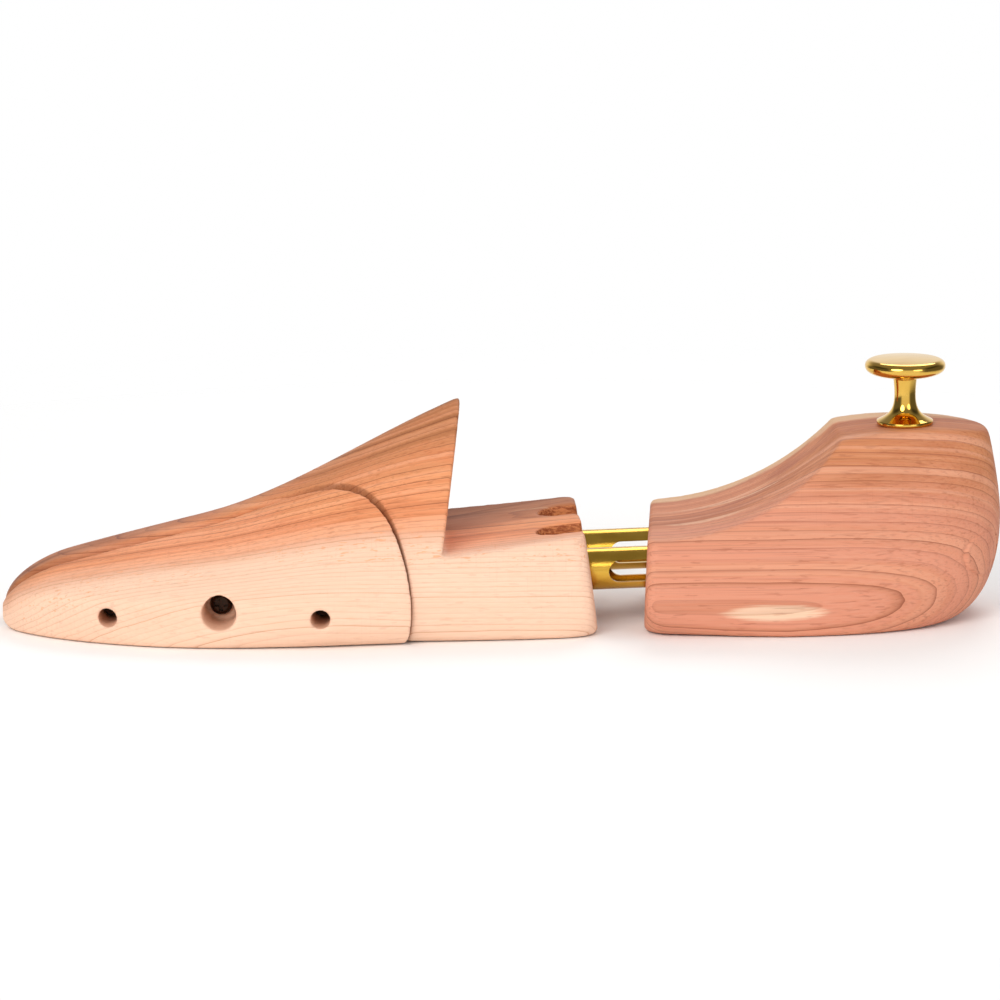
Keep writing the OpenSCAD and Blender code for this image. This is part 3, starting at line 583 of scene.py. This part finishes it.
coilGraph, given = geometryTree("windCoil", {
    "Coil Diameter": "Float", "Wire Diameter": "Float", "Length": "Float", "Turns": "Float",
    "Steps": "Int", "Wire Sides": "Int", "Finish": "Material"})
coilRadius = (given["Coil Diameter"] - given["Wire Diameter"]) * 0.5
wireRadius = given["Wire Diameter"] * 0.5
spiral = coilGraph.node("GeometryNodeCurveSpiral", None, {
    "Resolution": given["Steps"], "Rotations": given["Turns"],
    "Start Radius": coilRadius, "End Radius": coilRadius,
    "Height": given["Length"] - given["Wire Diameter"]})
lift = coilGraph.node("ShaderNodeCombineXYZ", None, {"Z": wireRadius})
lifted = coilGraph.node("GeometryNodeTransform", None, {"Geometry": spiral, "Translation": lift})
wire = coilGraph.node("GeometryNodeCurvePrimitiveCircle", None, {
    "Resolution": given["Wire Sides"], "Radius": wireRadius})
wound = coilGraph.node("GeometryNodeCurveToMesh", None,
                       {"Curve": lifted, "Profile Curve": wire, "Fill Caps": True})
closeTree(coilGraph, wound, given["Finish"])

springs = {
    "wing_spring": {"coil": 0.0092, "wire": 0.0008, "turns": 8.0,
                    "along": "tie_screw", "joint": "wing_hinge"},
    "near_tube_spring": {"coil": 0.0116, "wire": 0.0012, "turns": 11.0,
                         "along": "near_tube", "joint": "heel_slide"},
    "far_tube_spring": {"coil": 0.0116, "wire": 0.0012, "turns": 11.0,
                        "along": "far_tube", "joint": "heel_slide"},
}
winding = {"Steps": 24, "Wire Sides": 10, "Finish": springFinish}
springSlack = 0.0004             # extra squeeze beyond the joint's travel, to clear its seat; keep is worked out from it, but nothing squeezes the spring
for node, spring in springs.items():
    middle, way = axisOf(spring["along"])
    if spring["joint"] == "wing_hinge":
        way = way * -np.sign(way[1])        # out through the wing, toward -Y
    else:
        way = tubeWay
    co = np.array([v.co for v in cad[node].data.vertices])
    reach = (co - middle) @ way
    foot = middle + way * reach.min()
    length = float(reach.max() - reach.min())
    made = grow(node + "_wound", coilGraph, {
        "Coil Diameter": spring["coil"], "Wire Diameter": spring["wire"], "Length": length,
        "Turns": spring["turns"], **winding}, place=alongAxis(foot, way))
    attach(made, "forepart")
    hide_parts(node)
    if spring["joint"] == "wing_hinge":
        arm = foot[:2] - np.array(hinge["pos_m"])[:2]
        closing = openAngle * float(np.linalg.norm(arm))
    else:
        closing = abs(slide["range_m"][0])
    keep = 1.0 - (closing + springSlack) / length
    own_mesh(made)
    print(node, "is", round(length * 1000, 2), "mm long and closes by", round(closing * 1000, 2))
print("springs wound")

knob = {                         # diameters and heights in millimetres
    "head": 23.1, "headUp": 2.1, "headDown": 3.1, "rim": 2.2, "dome": 0.16, "collar": 0.5,
    "height": 19.2, "neck": 6.7, "waist": 5.7, "flare": 1.9, "bead": 7.5, "beadTall": 0.8,
    "foot": 16.2, "footRim": 1.3, "footEdge": 0.25, "footLip": 0.3, "shelf": 0.9,
    "segments": 160, "rings": 220,
}


def knobProfile(size):
    # Radius and height in millimetres, from the middle of the foot up to the middle of the top
    neck, foot, head = size["neck"] / 2, size["foot"] / 2, size["head"] / 2
    waist, bead, rim = size["waist"] / 2, size["bead"] / 2, size["rim"]
    footRim, footEdge, footLip = size["footRim"], size["footEdge"], size["footLip"]
    widest = size["height"] - size["headUp"]
    under = widest - size["headDown"]
    line = [(0, 0), (foot - footEdge, 0), (foot, footEdge), (foot, footRim - footLip),
            (foot - 0.1, footRim - 0.08), (foot - 0.35, footRim)]
    neckLength = under - size["shelf"] - footRim - footLip
    for i in range(1, 41):       # the waist: a wide flare at the foot, a slight one under the head
        rise = neckLength * i / 40
        flare = (foot - size["shelf"] - waist) * math.exp(-rise / size["flare"])
        line.append((waist + flare + (neck - waist) * (i / 40) ** 3, footRim + footLip + rise))
    for i in range(9):           # small bead under the head
        a = math.radians(180 * i / 8)
        line.append((neck + (bead - neck) * math.sin(a),
                     under - size["beadTall"] + size["beadTall"] * i / 8))
    for i in range(1, 19):       # the head's underside
        a = math.radians(90 * i / 18)
        line.append((neck + size["collar"] + (head - neck - size["collar"]) * math.sin(a) ** 0.85,
                     widest - size["headDown"] * math.cos(a) ** 0.8))
    for i in range(1, 13):       # its rim
        a = math.radians(90 * i / 12)
        line.append((head - rim * (1 - math.cos(a)),
                     widest + size["headUp"] * (1 - size["dome"]) * math.sin(a)))
    for i in range(1, 9):        # its slightly domed top
        t = 1 - i / 8
        line.append(((head - rim) * t, size["height"] - size["headUp"] * size["dome"] * t * t))
    return line


profile = bpy.data.curves.new("knobProfile", "CURVE")
profile.dimensions = "3D"
points = knobProfile(knob)
strand = profile.splines.new("POLY")
strand.points.add(len(points) - 1)
for point, (radius, height) in zip(strand.points, points):
    point.co = (radius / 1000, 0, height / 1000, 1)

latheGraph, given = geometryTree("turnOnLathe", {
    "Segments": "Int", "Rings": "Int", "Finish": "Material"})
blank = latheGraph.node("GeometryNodeMeshGrid", None, {
    "Size X": 1.0, "Size Y": 1.0, "Vertices X": given["Segments"], "Vertices Y": given["Rings"]})
spot = latheGraph.node("GeometryNodeInputPosition")
roundShare = latheGraph.node("ShaderNodeSeparateXYZ", None, {"Vector": spot}, "X") + 0.5
upShare = latheGraph.node("ShaderNodeSeparateXYZ", None, {"Vector": spot}, "Y") + 0.5
edge = latheGraph.node("GeometryNodeSampleCurve", {"mode": "FACTOR", "use_all_curves": False},
                       {"Curves": given["Geometry"], "Factor": upShare}, "Position")
radius = latheGraph.node("ShaderNodeSeparateXYZ", None, {"Vector": edge}, "X")
height = latheGraph.node("ShaderNodeSeparateXYZ", None, {"Vector": edge}, "Z")
angle = roundShare * (2 * math.pi)
onWall = latheGraph.node("ShaderNodeCombineXYZ", None, {
    "X": radius * angle.math("COSINE", angle),
    "Y": radius * angle.math("SINE", angle), "Z": height})
turnedBlank = latheGraph.node("GeometryNodeSetPosition", None,
                              {"Geometry": blank, "Position": onWall})
closeTree(latheGraph, turnedBlank, given["Finish"])

low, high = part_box("knob")
knobFoot = Vector(((low.x + high.x) / 2, (low.y + high.y) / 2, low.z))
knobPiece = grow("knob_turned", latheGraph,
                 {"Segments": knob["segments"] + 1, "Rings": knob["rings"], "Finish": knobFinish},
                 profile, Matrix.Translation(knobFoot))
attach(knobPiece, "heel")
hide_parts("knob")
print("knob turned")

studio = {
    "floor": "fefefe", "mist": "f4f2f0", "half": 6.0, "drop": 0.0002,
    "fade": (0.21, 0.45),        # the floor turns clear between these distances from the part
    "room": 0.62,
    "ceiling": 0.28,             # what glossy rays see overhead, and from which height on
    "ceilingFrom": (0.22, 0.6),
    "flags": 0.85,               # how much is dark at both ends, for glossy rays only
    "flagsFrom": (0.5, 0.85),
    "key": {"place": (-0.5, -1.05, 0.72), "size": 0.8, "watts": 9.6, "colour": "fffcf8"},
    "fill": {"place": (0.75, -1.0, 0.5), "size": 0.6, "watts": 2.1, "colour": "fdfdff"},
    "rim": {"place": (0.25, 0.85, 0.9), "size": 0.7, "watts": 4.0, "colour": "ffffff"},
}

floorMesh = bpy.data.meshes.new("floor")
corners = [(-1, -1), (1, -1), (1, 1), (-1, 1)]
floorMesh.from_pydata([(x * studio["half"], y * studio["half"], -studio["drop"])
                       for x, y in corners], [], [(0, 1, 2, 3)])
floor = bpy.data.objects.new("floor", floorMesh)
bpy.context.scene.collection.objects.link(floor)
material, graph, place = newFinish("paleFloor")
mist = graph.noise(place, (900, 900, 900), 1.0)
tone = graph.mix(mist * 0.06, tint(studio["floor"]), tint(studio["mist"]))
matte = graph.node("ShaderNodeBsdfPrincipled", None, {"Base Color": tone, "Roughness": 0.9})
far = graph.node("ShaderNodeVectorMath", {"operation": "LENGTH"}, {0: place}, "Value")
nothing = graph.node("ShaderNodeBsdfTransparent")
faded = graph.node("ShaderNodeMixShader", None,
                   {0: graph.step(far, *studio["fade"]), 1: matte, 2: nothing})
graph.node("ShaderNodeOutputMaterial", None, {"Surface": faded})
floorMesh.materials.append(material)

world = bpy.data.worlds.new("studio")
bpy.context.scene.world = world
world.use_nodes = True
world.node_tree.nodes.clear()
graph = Graph(world.node_tree)
seen = graph.node("ShaderNodeLightPath", None, None, "Is Camera Ray")
clear = graph.node("ShaderNodeLightPath", None, None, "Is Transmission Ray")
glossy = graph.node("ShaderNodeLightPath", None, None, "Is Glossy Ray")
toward = graph.node("ShaderNodeTexCoord", None, None, "Generated")
rise = graph.node("ShaderNodeSeparateXYZ", None, {"Vector": toward}, "Z")
aside = graph.node("ShaderNodeSeparateXYZ", None, {"Vector": toward}, "X")
mirrored = 1.0 - graph.step(rise, *studio["ceilingFrom"]) * (1.0 - studio["ceiling"])
mirrored = mirrored * (1.0 - graph.step(abs(aside), *studio["flagsFrom"]) * studio["flags"])
soft, shown, white = (
    graph.node("ShaderNodeBackground", None, {"Color": tint("ffffff"), "Strength": strength})
    for strength in (studio["room"], mirrored, 1.0))
both = graph.node("ShaderNodeMixShader", None, {0: glossy, 1: soft, 2: shown})
both = graph.node("ShaderNodeMixShader", None,
                  {0: seen.math("MAXIMUM", seen, clear), 1: both, 2: white})
graph.node("ShaderNodeOutputWorld", None, {"Surface": both})

for name in ("key", "fill", "rim"):
    lamp = studio[name]
    data = bpy.data.lights.new(name, "AREA")
    data.shape = "DISK"
    data.size = lamp["size"]
    data.energy = lamp["watts"]
    data.color = tint(lamp["colour"])[:3]
    light = bpy.data.objects.new(name, data)
    light.location = lamp["place"]
    light.rotation_mode = "QUATERNION"
    light.rotation_quaternion = (Vector((0, 0, 0.02)) - light.location).to_track_quat("-Z", "Y")
    bpy.context.scene.collection.objects.link(light)

view = {"aim": (-0.0002, -0.00015, 0.0339), "azimuth": 1.4665, "elevation": 11.7326,
        "roll": -0.5235, "distance": 1.6366, "lens": 204.56}
azimuth, elevation = math.radians(view["azimuth"]), math.radians(view["elevation"])
level = math.cos(elevation)
sight = Vector((math.sin(azimuth) * level, math.cos(azimuth) * level, -math.sin(elevation)))
cameraData = bpy.data.cameras.new("camera")
cameraData.lens = view["lens"]
cameraData.sensor_width = 36.0
cameraData.clip_start = 0.05
camera = bpy.data.objects.new("camera", cameraData)
camera.location = Vector(view["aim"]) - sight * view["distance"]
camera.rotation_mode = "QUATERNION"
roll = Matrix.Rotation(math.radians(view["roll"]), 3, "Z").to_quaternion()
camera.rotation_quaternion = sight.to_track_quat("-Z", "Y") @ roll
bpy.context.scene.collection.objects.link(camera)
bpy.context.scene.camera = camera
bpy.context.scene.view_settings.view_transform = "Standard"
print("studio lit")
